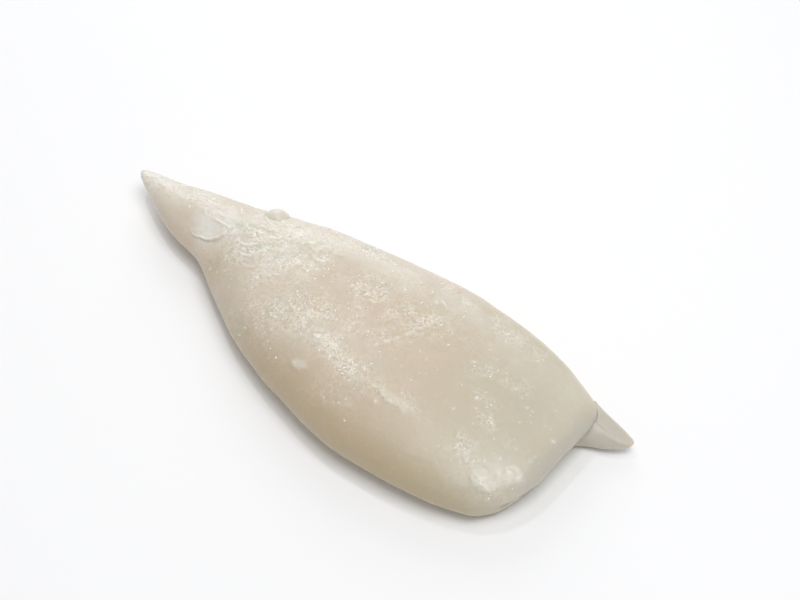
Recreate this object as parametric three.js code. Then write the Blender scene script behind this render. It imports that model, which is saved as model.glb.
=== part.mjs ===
// A cleaned squid tube, frozen and lying on its side: the skinned, finless body sac of a squid.
// It runs from a slender tail, through a plump flattened body, to a mouth whose two lips are pressed
// together, with a pointed lobe on the lower lip. Millimetres, +X from the tail to the mouth, +Z up.
import * as THREE from "three";
import { ParametricGeometry } from "three/addons/geometries/ParametricGeometry.js";
import { mergeVertices } from "three/addons/utils/BufferGeometryUtils.js";

// Each station says where the fold line that splits the upper wall from the lower one stands (along, side,
// height), and how far the tube reaches from it sideways (half), up (crown) and down (belly).
const STATIONS = [
  { along: 0, side: 4.0, height: 9.8, half: 1.4, crown: 1.7, belly: 1.7 },
  { along: 12, side: 2.5, height: 9.2, half: 5.7, crown: 4.6, belly: 4.0 },
  { along: 28, side: 2.0, height: 8.3, half: 11.4, crown: 7.2, belly: 5.7 },
  { along: 44, side: 2.6, height: 7.9, half: 14.8, crown: 8.8, belly: 7.0 },
  { along: 58, side: 0.0, height: 8.6, half: 19.5, crown: 11.2, belly: 9.3 },
  { along: 76, side: -2.4, height: 9.2, half: 26.1, crown: 13.5, belly: 10.8 },
  { along: 100, side: -3.8, height: 9.6, half: 32.1, crown: 14.4, belly: 11.6 },
  { along: 130, side: -3.6, height: 9.4, half: 36.6, crown: 13.6, belly: 11.4 },
  { along: 152, side: -2.4, height: 8.6, half: 35.5, crown: 11.7, belly: 10.2 },
  { along: 170, side: -2.0, height: 7.6, half: 32.3, crown: 9.2, belly: 8.6 },
  { along: 182, side: -2.4, height: 6.9, half: 28.5, crown: 7.1, belly: 7.3 },
];
const TIP_ROUND = 2.2; // length over which the tail closes to its round tip

// The mouth: the lips' noses stand out past the last station, and the thicker upper one overhangs.
const UPPER_NOSE = 5.6;
const LOWER_NOSE = 2.6;
const UPPER_SIDE_WALL = 6.2; // flesh between the upper fold side and the end of the crevice
const LOWER_SIDE_WALL = 13; // the same at the lower side, where the lips stick together
const CREVICE_GAP = 1.4;
const CREVICE_DROP = 2.0; // how far under the fold line the lips meet at the mouth
const CREVICE_REACH = 0.13; // share of the stations, counted back from the mouth
const STUCK_LIPS = 3.2; // how much shallower the groove between the lips is at its lower side
const LOBE_LENGTH = 16.9;
const LOBE_THINNING = 0.25; // share of the wall's thickness that the lobe loses towards its point
const LOBE_SINK = 0.06; // share of its height that the fold loses towards the lobe's point
const LOBE_LEAN = 0.3; // how far the lobe's point turns towards the upper side
const CORNER_CUT = 5.8; // how far the rim draws back where it turns into the lower side
const RIM_REACH = 0.16; // share of the stations over which the rim's outline fades into the body

// The floor that the belly has settled on: heights under the softness are pressed flat.
const FLOOR_SOFTNESS = 1.0;

// Rows of the skin along the tube, round the lips and down the crevice, and points round each row.
const BODY_ROWS = 50;
const LIP_ROWS = 8;
const CREVICE_ROWS = 8;
const POINTS_ROUND = 72;

const spine = new THREE.CatmullRomCurve3(
  STATIONS.map((s) => new THREE.Vector3(s.along, s.side, s.height)),
);
const girth = new THREE.CatmullRomCurve3(
  STATIONS.map((s) => new THREE.Vector3(s.half, s.crown, s.belly)),
);

const smooth = (value, low, high) => THREE.MathUtils.smoothstep(value, low, high);
const power = (value, exponent) => Math.sign(value) * Math.abs(value) ** exponent;
const bell = (value, middle, reach) => Math.exp(-(((value - middle) / reach) ** 2));

// How far the rim stands out past the last station, at an angle round the tube and a distance across it.
// The angle runs from 0 at the upper fold side over the belly to 180 degrees and back over the crown. The
// lobe belongs to the lower lip and starts at the fold; the corner is where the rim meets the lower side.
function rimOffset(turn, across) {
  const angle = THREE.MathUtils.radToDeg(turn);
  const below = smooth(angle > 180 ? angle - 360 : angle, -2, 16);
  const lobe = LOBE_LENGTH * below * smooth(across, 14.6, 26);
  const corner = -CORNER_CUT * Math.max(0, (-Math.cos(turn) - 0.25) / 0.75) ** 1.5;
  return { lobe, corner };
}

// Heights under the floor's softness settle on the plane z = 0, with no crease where they meet it.
function settled(height) {
  if (height <= -FLOOR_SOFTNESS) return 0;
  if (height >= FLOOR_SOFTNESS) return height;
  return (height + FLOOR_SOFTNESS) ** 2 / (4 * FLOOR_SOFTNESS);
}

// Squareness of the section: a ridged tail, a rounded body and flat lips.
const squareness = (share) => 1.75 + 0.75 * smooth(share, 0.2, 0.55) + 0.3 * smooth(share, 0.75, 1);

// The tail's ridge leans towards the lower side, and the body's crown towards the upper one.
const lean = (share) => -1.6 + 4.2 * smooth(share, 0.22, 0.5) - 0.8 * smooth(share, 0.6, 1);

// Shallow dents and swells of the upper wall, by place along and across the tube.
function relief(along, side) {
  const bump = (x, y, longX, longY) => bell(along, x, longX) * bell(side, y, longY);
  return (
    -2.0 * bump(47, -9, 7, 9) + // waist between the tail and the shoulder
    0.8 * bump(63, 2, 10, 14) + // shoulder
    -0.9 * bump(110, 4, 28, 10) + // long hollow of the back
    0.5 * bump(128, -20, 30, 7) + // swell over the lower side
    -1.1 * bump(172, 6, 8, 9) // dent behind the upper lip
  );
}

// A point of the outer skin at a share of the stations and an angle round the section.
function skinPoint(share, turn, target) {
  const at = spine.getPoint(share);
  const reach = girth.getPoint(share);
  const closing = at.x < TIP_ROUND ? Math.sqrt(1 - (1 - at.x / TIP_ROUND) ** 2) : 1;
  const exponent = 2 / squareness(share);
  const rise = -power(Math.sin(turn), exponent);
  const across = reach.x * power(Math.cos(turn), exponent) * closing;
  const height = (rise > 0 ? reach.y : reach.z) * rise * closing;
  const upper = Math.max(rise, 0);
  const fade = smooth(share, 1 - RIM_REACH, 1);
  const { lobe, corner } = rimOffset(turn, across);
  const point = (fade * lobe) / LOBE_LENGTH;
  const middle = at.z * (1 - LOBE_SINK * point);
  const wall = height * (1 - LOBE_THINNING * point);
  return target.set(
    at.x + fade * corner + fade ** 3 * lobe,
    at.y + across + lean(share) * upper * closing + LOBE_LEAN * point,
    settled(middle + wall + relief(at.x, across) * upper * closing),
  );
}

// A point of the crevice between the lips; depth runs from 0 at the mouth to 1 at its closed end.
function crevicePoint(depth, turn, target) {
  const share = 1 - depth * CREVICE_REACH;
  const at = spine.getPoint(share);
  const reach = girth.getPoint(share);
  const closing = Math.sqrt(1 - depth ** 2);
  const half = reach.x - (UPPER_SIDE_WALL + LOWER_SIDE_WALL) / 2;
  const shift = (LOWER_SIDE_WALL - UPPER_SIDE_WALL) / 2;
  const across = shift + half * power(Math.cos(turn), 2 / squareness(share)) * closing;
  const { lobe, corner } = rimOffset(turn, across);
  const fade = (1 - depth) ** 2;
  const point = (fade * lobe) / LOBE_LENGTH;
  const middle = at.z * (1 - LOBE_SINK * point) - CREVICE_DROP * fade * (1 - 0.6 * point);
  const stuck = STUCK_LIPS * smooth(-Math.cos(turn), 0.3, 1);
  return target.set(
    at.x + fade * (corner + lobe + stuck),
    at.y + across + lean(share) * 0.5 + LOBE_LEAN * point,
    middle - (CREVICE_GAP / 2) * power(Math.sin(turn), 1.6) * closing,
  );
}

// A point of the lips' round edge; roll runs from 0 at the outer skin to a half turn in the crevice.
function lipPoint(roll, turn, target) {
  const outer = skinPoint(1, turn, new THREE.Vector3());
  const inner = crevicePoint(0, turn, new THREE.Vector3());
  const outward = outer.clone().sub(skinPoint(0.99, turn, new THREE.Vector3())).normalize();
  const nose = THREE.MathUtils.lerp(LOWER_NOSE, UPPER_NOSE, smooth(-Math.sin(turn), -0.5, 0.7));
  target.lerpVectors(outer, inner, (1 - Math.cos(roll)) / 2).addScaledVector(outward, nose * Math.sin(roll));
  target.z = Math.max(target.z, 0);
  return target;
}

// The skin as one closed surface: out along the body, round the lips and back down the crevice.
function mantlePoint(along, round, target) {
  const row = along * (BODY_ROWS + LIP_ROWS + CREVICE_ROWS);
  const turn = round * 2 * Math.PI;
  if (row <= BODY_ROWS) return skinPoint(row / BODY_ROWS, turn, target);
  if (row < BODY_ROWS + LIP_ROWS) return lipPoint(((row - BODY_ROWS) / LIP_ROWS) * Math.PI, turn, target);
  return crevicePoint((row - BODY_ROWS - LIP_ROWS) / CREVICE_ROWS, turn, target);
}

function mantleGeometry() {
  const rows = BODY_ROWS + LIP_ROWS + CREVICE_ROWS;
  const grid = new ParametricGeometry(mantlePoint, rows, POINTS_ROUND);
  grid.deleteAttribute("normal");
  grid.deleteAttribute("uv");
  const skin = mergeVertices(grid, 1e-3);
  skin.computeBoundingBox();
  const { min, max } = skin.boundingBox;
  skin.translate(-(min.x + max.x) / 2, -(min.y + max.y) / 2, -min.z);
  skin.computeVertexNormals();
  return skin;
}

const flesh = new THREE.MeshStandardMaterial({ color: 0xd6cbb6, roughness: 0.45, metalness: 0 });

const squid = new THREE.Group();
const mantle = new THREE.Mesh(mantleGeometry(), flesh);
mantle.name = "mantle";
squid.add(mantle);

export default squid;
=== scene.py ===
"""Looks of a cleaned squid tube, frozen and lying on its side under a thin glaze of ice.

The flesh replaces the CAD solid "mantle" and keeps its form, with the ice that has frozen to its skin. Grains
of frost lie on it. The sizes in the classes are millimetres, and Blender's own lengths are metres.
"""

import enum
import logging
import math
from dataclasses import dataclass, field

import bmesh
import bpy
import numpy as np
from mathutils import Matrix, Vector, noise


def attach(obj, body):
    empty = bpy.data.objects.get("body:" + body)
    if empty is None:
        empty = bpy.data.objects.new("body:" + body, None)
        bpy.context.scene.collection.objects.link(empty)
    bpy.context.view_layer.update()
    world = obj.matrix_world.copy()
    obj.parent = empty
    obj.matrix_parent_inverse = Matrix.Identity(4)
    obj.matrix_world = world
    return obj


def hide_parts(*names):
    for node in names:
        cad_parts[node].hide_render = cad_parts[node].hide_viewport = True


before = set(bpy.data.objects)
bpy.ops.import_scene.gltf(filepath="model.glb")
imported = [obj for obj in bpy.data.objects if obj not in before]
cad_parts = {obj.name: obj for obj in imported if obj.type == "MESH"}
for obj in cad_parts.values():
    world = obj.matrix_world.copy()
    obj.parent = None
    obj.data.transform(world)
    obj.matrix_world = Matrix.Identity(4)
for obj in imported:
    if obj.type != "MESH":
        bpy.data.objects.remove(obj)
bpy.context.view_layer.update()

log = logging.getLogger("squid")
MM = 0.001


# ---------------------------------------------------------------------------------------- small helpers


def linear(hex_colour: str) -> tuple[float, float, float, float]:
    """Turns an sRGB hex colour into linear RGBA.

    Args:
        hex_colour: The colour as "#rrggbb".

    Returns:
        Red, green, blue and an alpha of one.
    """
    channels = [int(hex_colour[i : i + 2], 16) / 255 for i in (1, 3, 5)]
    return (*(c / 12.92 if c <= 0.04045 else ((c + 0.055) / 1.055) ** 2.4 for c in channels), 1.0)


def add_node(
    tree: bpy.types.NodeTree, kind: str, inputs: dict | None = None, **settings: object
) -> bpy.types.Node:
    """Adds a node with its settings and links.

    Args:
        tree: The tree that gets the node.
        kind: The node's type name.
        inputs: What goes into the node, by name, or by index where inputs share a name: a value, a socket,
            or a node, which stands for the first of its outputs that is in use.
        **settings: Properties of the node itself.

    Returns:
        The new node.
    """
    node = tree.nodes.new(kind)
    for name, value in settings.items():
        setattr(node, name, value)
    for key, value in (inputs or {}).items():
        if isinstance(value, bpy.types.Node):
            value = next(socket for socket in value.outputs if socket.enabled)
        if isinstance(value, bpy.types.NodeSocket):
            tree.links.new(value, node.inputs[key])
        else:
            node.inputs[key].default_value = value
    return node


def smooth(value: np.ndarray, low: float, high: float) -> np.ndarray:
    """Rises smoothly from 0 at low to 1 at high."""
    t = np.clip((value - low) / (high - low), 0, 1)
    return t * t * (3 - 2 * t)


def bell(value: np.ndarray, middle: float, reach: float) -> np.ndarray:
    """A soft bump of height 1 round the middle."""
    return np.exp(-(((value - middle) / reach) ** 2))


def fractal(points_mm: np.ndarray, size_mm: float, octaves: int = 3, shift: float = 0.0) -> np.ndarray:
    """Fractal noise at points.

    Args:
        points_mm: Rows of x, y and z.
        size_mm: The size of the largest swells.
        octaves: How many finer layers are added.
        shift: Moves the pattern, so that two layers differ.

    Returns:
        One value a point, roughly from -1 to 1.
    """
    places = [Vector(p / size_mm) + Vector((shift,) * 3) for p in points_mm]
    return np.array([noise.fractal(place, 0.9, 2.0, octaves) for place in places])


def cell_rims(points_mm: np.ndarray, size_mm: float, width: float, shift: float = 0.0) -> np.ndarray:
    """The walls between Voronoi cells, as on frozen foam.

    Args:
        points_mm: Rows of x, y and z.
        size_mm: The size of a cell.
        width: The wall's half width, as a share of the cell.
        shift: Moves the pattern.

    Returns:
        1 on a wall, falling to 0 inside a cell.
    """
    rims = []
    for p in points_mm:
        near = noise.voronoi(Vector(p / size_mm) + Vector((shift,) * 3))[0]
        rims.append(near[1] - near[0])
    return 1 - smooth(np.array(rims), 0, width)


def read_points(mesh: bpy.types.Mesh) -> np.ndarray:
    """Reads where a mesh's vertices are.

    Args:
        mesh: The mesh, in metres.

    Returns:
        The vertices in millimetres, one row each.
    """
    flat = np.empty(len(mesh.vertices) * 3)
    mesh.vertices.foreach_get("co", flat)
    return flat.reshape(-1, 3) / MM


def read_normals(mesh: bpy.types.Mesh) -> np.ndarray:
    """Reads which way a mesh's vertices face.

    Args:
        mesh: The mesh.

    Returns:
        The vertex normals, one row each.
    """
    flat = np.empty(len(mesh.vertices) * 3)
    mesh.vertex_normals.foreach_get("vector", flat)
    return flat.reshape(-1, 3)


def write_points(mesh: bpy.types.Mesh, points_mm: np.ndarray) -> None:
    """Moves the mesh's vertices to the given places in millimetres."""
    mesh.vertices.foreach_set("co", (points_mm * MM).ravel())
    mesh.update()


def write_mask(mesh: bpy.types.Mesh, name: str, values: np.ndarray) -> None:
    """Stores a mask on the mesh's vertices as an attribute."""
    attribute = mesh.attributes.new(name, "FLOAT", "POINT")
    attribute.data.foreach_set("value", np.clip(values, 0, 1).astype(np.float32))


def make_object(name: str, mesh: bpy.types.Mesh, material: bpy.types.Material | None) -> bpy.types.Object:
    """Puts a mesh into the scene as a smooth object at the origin.

    Args:
        name: The piece's name.
        mesh: Its mesh, in place.
        material: Its finish, or None where its nodes set one.

    Returns:
        The new object.
    """
    piece = bpy.data.objects.new(name, mesh)
    bpy.context.scene.collection.objects.link(piece)
    mesh.polygons.foreach_set("use_smooth", [True] * len(mesh.polygons))
    mesh.materials.clear()
    if material:
        mesh.materials.append(material)
    return piece


def settle(piece: bpy.types.Object) -> None:
    """Turns a piece's modifiers into a plain mesh and removes them.

    Args:
        piece: The piece, whose mesh is replaced.
    """
    evaluated = piece.evaluated_get(bpy.context.evaluated_depsgraph_get())
    mesh = bpy.data.meshes.new_from_object(evaluated)
    piece.modifiers.clear()
    piece.data = mesh


# ---------------------------------------------------------------------------------------------- finishes


class Tint(enum.Enum):
    """The colours of the flesh, its ice and the paper under it, as sRGB hex values."""

    CREAM = "#cfc2ab"
    BLUSH = "#d2c2ad"
    OLIVE = "#ccc5b0"
    # Painted shade, for the side away from the light, the undersides and the waist valley.
    SHADED = "#baa782"
    GREYED = "#c7c2b6"
    GLAZED = "#dfdbd0"
    HOLLOW_ICE = "#c6c4ae"
    RIM_ICE = "#f9f4eb"
    # Painted shade, in the hollows beside the frost's lines.
    HOLLOW_SHADE = "#bdb19a"
    FROST = "#fbf6ea"
    PACKED_FROST = "#ddd4c2"
    PAPER = "#fbfbfa"

    @property
    def rgba(self) -> tuple[float, float, float, float]:
        """The colour in linear light."""
        return linear(self.value)


@dataclass(frozen=True)
class Mottle:
    """A cloudy pattern: the real size of its patches on the skin, and how many finer layers it has."""

    size_mm: float
    detail: float = 3.0

    def draw(self, tree: bpy.types.NodeTree) -> bpy.types.Node:
        """Adds the pattern on the piece's own coordinates.

        Args:
            tree: The material's tree.

        Returns:
            The pattern's node, with values mostly from 0.3 to 0.7.
        """
        place = add_node(tree, "ShaderNodeTexCoord").outputs["Object"]
        inputs = {"Vector": place, "Scale": 1 / (self.size_mm * MM), "Detail": self.detail, "Roughness": 0.55}
        return add_node(tree, "ShaderNodeTexNoise", inputs)


def new_material(name: str) -> tuple[bpy.types.Material, bpy.types.Node]:
    """A node material with a Principled shader.

    Args:
        name: The real material's name.

    Returns:
        The material and its shader node.
    """
    material = bpy.data.materials.new(name)
    material.use_nodes = True
    return material, material.node_tree.nodes["Principled BSDF"]


@dataclass(frozen=True)
class RawSquidFlesh:
    """Skinned raw squid, frozen: dense, creamy, slightly see-through muscle under a skin of glaze ice.

    Light goes a few millimetres into the muscle, redder light furthest, which softens every shadow. The flesh
    is dull, the glaze on it gives a broad wet sheen, and where the ice is thick it is glassy. Thin frost
    draws winding white lines, flecks and crystals on it; some of the crystals' white is painted glint, and
    the darker hollows beside the lines are painted shade.
    """

    masks: tuple[str, ...] = ("blush", "olive", "shade", "lips", "glaze", "ice", "rim", "frost", "speck")
    scatter_mm: tuple[float, float, float] = (3.0, 2.2, 1.5)
    scatter_share: float = 0.7
    coat_share: float = 0.4
    coat_roughness: float = 0.2
    muscle_ior: float = 1.38
    ice_ior: float = 1.31
    glassiness: float = 0.24
    blush_patch: Mottle = Mottle(24.0)
    olive_patch: Mottle = Mottle(15.0)
    wet_patch: Mottle = Mottle(2.4, 4)
    clump: Mottle = Mottle(5.0)
    # Real frost has lines a few tenths of a millimetre wide and finer crystals. The render shows nothing that
    # fine, so the lines, the flecks, the crystals and the grain are drawn coarser.
    line: Mottle = Mottle(2.2, 4)
    fleck: Mottle = Mottle(1.6)
    crystal_and_glint: Mottle = Mottle(1.0, 2)
    grain: Mottle = Mottle(1.0, 2)
    grain_depth_mm: float = 0.1
    film_strength: float = 0.6
    thinnest_film: float = 0.12
    hollow_shade_strength: float = 0.55
    speck_cell_mm: float = 2.6
    speck_radius: float = 0.22
    speck_share: float = 0.6
    speck_strength: float = 0.5
    speck_bend_mm: float = 2.2

    def material(self) -> bpy.types.Material:
        """Builds the material.

        Returns:
            The finish, which reads the masks that the flesh's mesh carries.
        """
        material, shader = new_material("raw_squid_flesh")
        tree = material.node_tree
        masks = {
            name: add_node(tree, "ShaderNodeAttribute", attribute_name=name).outputs["Fac"]
            for name in self.masks
        }
        frosted = self._frosted(tree, masks["frost"])
        film = self._film(tree, frosted)
        speck = {0: self._specks(tree, masks["speck"]), 1: self.speck_strength}
        speck = add_node(tree, "ShaderNodeMath", speck, operation="MULTIPLY")
        film = add_node(tree, "ShaderNodeMath", {0: film, 1: speck}, operation="MAXIMUM")
        # Painted shade: the hollows beside the frost's lines are painted darker.
        hollow_shade = {"From Min": 0.46, "From Max": 0.36, "To Max": self.hollow_shade_strength}
        hollow_shade = add_node(tree, "ShaderNodeMapRange", {"Value": self.line.draw(tree), **hollow_shade})
        hollow_shade = add_node(tree, "ShaderNodeMath", {0: hollow_shade, 1: frosted}, operation="MULTIPLY")
        colour = self._tone(tree, masks)
        for share, tint in ((hollow_shade, Tint.HOLLOW_SHADE), (film, Tint.FROST)):
            colour = add_node(tree, "ShaderNodeMix", {0: share, 6: colour, 7: tint.rgba}, data_type="RGBA")
        tree.links.new(colour.outputs[2], shader.inputs["Base Color"])
        tree.links.new(self._roughness(tree, masks["ice"]).outputs[0], shader.inputs["Roughness"])
        tree.links.new(self._grain(tree, film).outputs["Normal"], shader.inputs["Normal"])

        shader.inputs["IOR"].default_value = self.muscle_ior
        shader.inputs["Subsurface Weight"].default_value = self.scatter_share
        shader.inputs["Subsurface Radius"].default_value = self.scatter_mm
        shader.inputs["Subsurface Scale"].default_value = MM
        shader.inputs["Coat Weight"].default_value = self.coat_share
        shader.inputs["Coat Roughness"].default_value = self.coat_roughness
        shader.inputs["Coat IOR"].default_value = self.ice_ior
        return material

    def _tone(self, tree: bpy.types.NodeTree, masks: dict[str, bpy.types.NodeSocket]) -> bpy.types.Node:
        """The flesh's colour under the frost: cream, rosier or greener in patches, greyer at the mouth;
        painted shade makes it browner on the side away from the light, underneath and in the waist, and
        greyer at the lobe's tip.

        Args:
            tree: The material's tree.
            masks: The sockets of the mesh's masks, by name.

        Returns:
            The colour's node.
        """
        rosy = {"Value": self.blush_patch.draw(tree), "From Min": 0.3, "From Max": 0.6}
        rosy = add_node(tree, "ShaderNodeMapRange", rosy)
        rosy = add_node(tree, "ShaderNodeMath", {0: rosy, 1: masks["blush"]}, operation="MULTIPLY")
        green = {"Value": self.olive_patch.draw(tree), "From Min": 0.5, "From Max": 0.75, "To Max": 0.5}
        green = add_node(tree, "ShaderNodeMapRange", green)
        green = add_node(tree, "ShaderNodeMath", {0: green, 1: masks["olive"]}, operation="ADD")
        ice = {0: masks["rim"], 6: Tint.HOLLOW_ICE.rgba, 7: Tint.RIM_ICE.rgba}
        ice = add_node(tree, "ShaderNodeMix", ice, data_type="RGBA")
        layers = (
            (rosy, Tint.BLUSH.rgba),
            (green, Tint.OLIVE.rgba),
            (masks["shade"], Tint.SHADED.rgba),
            (masks["lips"], Tint.GREYED.rgba),
            (masks["glaze"], Tint.GLAZED.rgba),
            (masks["ice"], ice),
        )
        colour = Tint.CREAM.rgba
        for share, layer in layers:
            colour = add_node(tree, "ShaderNodeMix", {0: share, 6: colour, 7: layer}, data_type="RGBA")
        return colour

    def _frosted(self, tree: bpy.types.NodeTree, frost: bpy.types.NodeSocket) -> bpy.types.Node:
        """How frosty the skin is: the mesh's mask, broken up into clumps.

        Args:
            tree: The material's tree.
            frost: The mask's socket.

        Returns:
            The node of the share, from 0 to 1.
        """
        clumps = {
            "Value": self.clump.draw(tree),
            "From Min": 0.35,
            "From Max": 0.65,
            "To Min": 0.45,
            "To Max": 1.25,
        }
        clumps = add_node(tree, "ShaderNodeMapRange", clumps)
        return add_node(tree, "ShaderNodeMath", {0: frost, 1: clumps}, operation="MULTIPLY", use_clamp=True)

    def _film(self, tree: bpy.types.NodeTree, frosted: bpy.types.Node) -> bpy.types.Node:
        """How white the film of thin frost is, in winding lines, soft flecks and crisp crystals, whose
        near-white is partly painted glint.

        Args:
            tree: The material's tree.
            frosted: How frosty the skin is.

        Returns:
            The node of the film's whiteness, from 0 to 1.
        """
        folded = add_node(tree, "ShaderNodeMath", {0: self.line.draw(tree), 1: 0.5}, operation="SUBTRACT")
        folded = add_node(tree, "ShaderNodeMath", {0: folded}, operation="ABSOLUTE")
        line = {"Value": folded, "From Min": 0.01, "From Max": 0.07, "To Min": 0.95, "To Max": 0.0}
        line = add_node(tree, "ShaderNodeMapRange", line)
        fleck = {"Value": self.fleck.draw(tree), "From Min": 0.53, "From Max": 0.63}
        fleck = add_node(tree, "ShaderNodeMapRange", fleck)
        drawn = add_node(tree, "ShaderNodeMath", {0: line, 1: fleck}, operation="MAXIMUM")
        drawn = add_node(tree, "ShaderNodeMath", {0: drawn, 1: self.thinnest_film}, operation="MAXIMUM")
        soft = add_node(tree, "ShaderNodeMath", {0: drawn, 1: frosted}, operation="MULTIPLY")
        soft = add_node(tree, "ShaderNodeMath", {0: soft, 1: self.film_strength}, operation="MULTIPLY")
        # Crisp near-white crystals of frost, partly painted glints.
        crystal_and_glint = {"Value": self.crystal_and_glint.draw(tree), "From Min": 0.56, "From Max": 0.64}
        crystal_and_glint = add_node(tree, "ShaderNodeMapRange", crystal_and_glint)
        thick = {"Value": frosted, "From Min": 0.1, "From Max": 0.7, "To Max": 0.85}
        thick = add_node(tree, "ShaderNodeMapRange", thick)
        crisp = add_node(tree, "ShaderNodeMath", {0: crystal_and_glint, 1: thick}, operation="MULTIPLY")
        return add_node(tree, "ShaderNodeMath", {0: soft, 1: crisp}, operation="MAXIMUM")

    def _specks(self, tree: bpy.types.NodeTree, speckled: bpy.types.NodeSocket) -> bpy.types.Node:
        """White specks, one in some cells of a bent Voronoi pattern.

        Args:
            tree: The material's tree.
            speckled: The socket of the mask that says where specks are.

        Returns:
            The specks' node, 1 on a speck.
        """
        place = add_node(tree, "ShaderNodeTexCoord").outputs["Object"]
        bend = {"Vector": place, "Scale": 1 / (self.fleck.size_mm * MM), "Detail": 3.0}
        bend = add_node(tree, "ShaderNodeTexNoise", bend).outputs["Color"]
        bent = {0: bend, 1: (self.speck_bend_mm * MM,) * 3, 2: place}
        bent = add_node(tree, "ShaderNodeVectorMath", bent, operation="MULTIPLY_ADD")
        cells = {"Vector": bent, "Scale": 1 / (self.speck_cell_mm * MM)}
        cells = add_node(tree, "ShaderNodeTexVoronoi", cells, feature="F1")
        fall = {"To Min": 1.0, "To Max": 0.0}
        edge = {"From Min": self.speck_radius * 0.7, "From Max": self.speck_radius, **fall}
        spot = add_node(tree, "ShaderNodeMapRange", {"Value": cells.outputs["Distance"], **edge})
        lot = add_node(tree, "ShaderNodeSeparateColor", {0: cells.outputs["Color"]})
        limit = {"From Min": self.speck_share, "From Max": self.speck_share + 0.01, **fall}
        drawn = add_node(tree, "ShaderNodeMapRange", {"Value": lot, **limit})
        speck = add_node(tree, "ShaderNodeMath", {0: spot, 1: drawn}, operation="MULTIPLY")
        return add_node(tree, "ShaderNodeMath", {0: speck, 1: speckled}, operation="MULTIPLY")

    def _roughness(self, tree: bpy.types.NodeTree, ice: bpy.types.NodeSocket) -> bpy.types.Node:
        """How rough the skin is: dull flesh with wetter patches, and glassy where the ice is thick.

        Args:
            tree: The material's tree.
            ice: The socket of the ice's mask.

        Returns:
            The roughness's node.
        """
        dull = {"From Min": 0.35, "From Max": 0.7, "To Min": 0.52, "To Max": 0.36}
        dull = add_node(tree, "ShaderNodeMapRange", {"Value": self.wet_patch.draw(tree), **dull})
        glassy = add_node(tree, "ShaderNodeMath", {0: ice, 1: self.glassiness}, operation="MULTIPLY")
        return add_node(tree, "ShaderNodeMath", {0: dull, 1: glassy}, operation="SUBTRACT")

    def _grain(self, tree: bpy.types.NodeTree, film: bpy.types.Node) -> bpy.types.Node:
        """The skin's fine grain, with the frost film standing on it.

        Args:
            tree: The material's tree.
            film: How white the film of frost is.

        Returns:
            The bump's node.
        """
        grain = add_node(tree, "ShaderNodeMath", {0: self.grain.draw(tree), 1: 0.5}, operation="MULTIPLY")
        grain = add_node(tree, "ShaderNodeMath", {0: grain, 1: film}, operation="ADD")
        bump = {"Height": grain, "Distance": self.grain_depth_mm * MM, "Strength": 0.8}
        return add_node(tree, "ShaderNodeBump", bump)


@dataclass(frozen=True)
class HoarFrost:
    """Hoar frost: fine crystals packed into soft white specks, rough and bright with a few glints."""

    patch: Mottle = Mottle(1.5, 2)
    ior: float = 1.31
    roughness: float = 0.35

    def material(self) -> bpy.types.Material:
        """Builds the material.

        Returns:
            The finish of the grains.
        """
        material, shader = new_material("hoar_frost")
        tree = material.node_tree
        bright = {"Value": self.patch.draw(tree), "From Min": 0.4, "From Max": 0.62}
        bright = add_node(tree, "ShaderNodeMapRange", bright)
        colour = {0: bright, 6: Tint.PACKED_FROST.rgba, 7: Tint.FROST.rgba}
        colour = add_node(tree, "ShaderNodeMix", colour, data_type="RGBA")
        tree.links.new(colour.outputs[2], shader.inputs["Base Color"])
        shader.inputs["IOR"].default_value = self.ior
        shader.inputs["Roughness"].default_value = self.roughness
        return material


@dataclass(frozen=True)
class MattPaper:
    """White background paper, uncoated: near white and quite matt, so that it shows soft shadows only."""

    roughness: float = 0.9

    def material(self) -> bpy.types.Material:
        """Builds the material.

        Returns:
            The floor's finish.
        """
        material, shader = new_material("matt_white_paper")
        shader.inputs["Base Color"].default_value = Tint.PAPER.rgba
        shader.inputs["Roughness"].default_value = self.roughness
        return material


# ------------------------------------------------------------------------------------------ the squid tube


@dataclass(frozen=True)
class Zone:
    """A soft-edged ellipse on the tube's upper side, in millimetres as seen from above."""

    x: float
    y: float
    long: float
    wide: float
    turn_deg: float = 0.0
    strength: float = 1.0

    def weight(self, points: np.ndarray) -> np.ndarray:
        """How much of the zone each point has.

        Args:
            points: Rows of x, y and z in millimetres.

        Returns:
            One value a point, from 0 far away to the zone's strength in the middle.
        """
        turn = math.radians(self.turn_deg)
        dx, dy = points[:, 0] - self.x, points[:, 1] - self.y
        u = (dx * math.cos(turn) + dy * math.sin(turn)) / self.long
        v = (dy * math.cos(turn) - dx * math.sin(turn)) / self.wide
        return self.strength * np.exp(-(u**2 + v**2))


@dataclass(frozen=True)
class Path:
    """A line on the tube's upper side, through places seen from above."""

    places: tuple[tuple[float, float], ...]

    def measure(self, points: np.ndarray) -> tuple[np.ndarray, np.ndarray]:
        """Measures points against the path.

        Args:
            points: Rows of x, y and z in millimetres.

        Returns:
            The distance to the path, positive on its left, and the share of the path at the nearest place.
        """
        nearest = np.full(len(points), np.inf)
        share = np.zeros(len(points))
        side = np.ones(len(points))
        spans = len(self.places) - 1
        for k in range(spans):
            a, b = np.array(self.places[k]), np.array(self.places[k + 1])
            step, off = b - a, points[:, :2] - a
            along = np.clip((off @ step) / (step @ step), 0, 1)
            gap = np.linalg.norm(off - along[:, None] * step, axis=1)
            closer = gap < nearest
            nearest = np.where(closer, gap, nearest)
            share = np.where(closer, (k + along) / spans, share)
            side = np.where(closer, np.sign(step[0] * off[:, 1] - step[1] * off[:, 0]), side)
        return nearest * side, share

    def line(self, points: np.ndarray, width: float) -> np.ndarray:
        """A soft line of that half width along the path, thinning out at both ends."""
        gap, share = self.measure(points)
        return np.exp(-((gap / width) ** 2)) * np.sqrt(np.sin(math.pi * np.clip(share, 0, 1)).clip(0))


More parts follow.
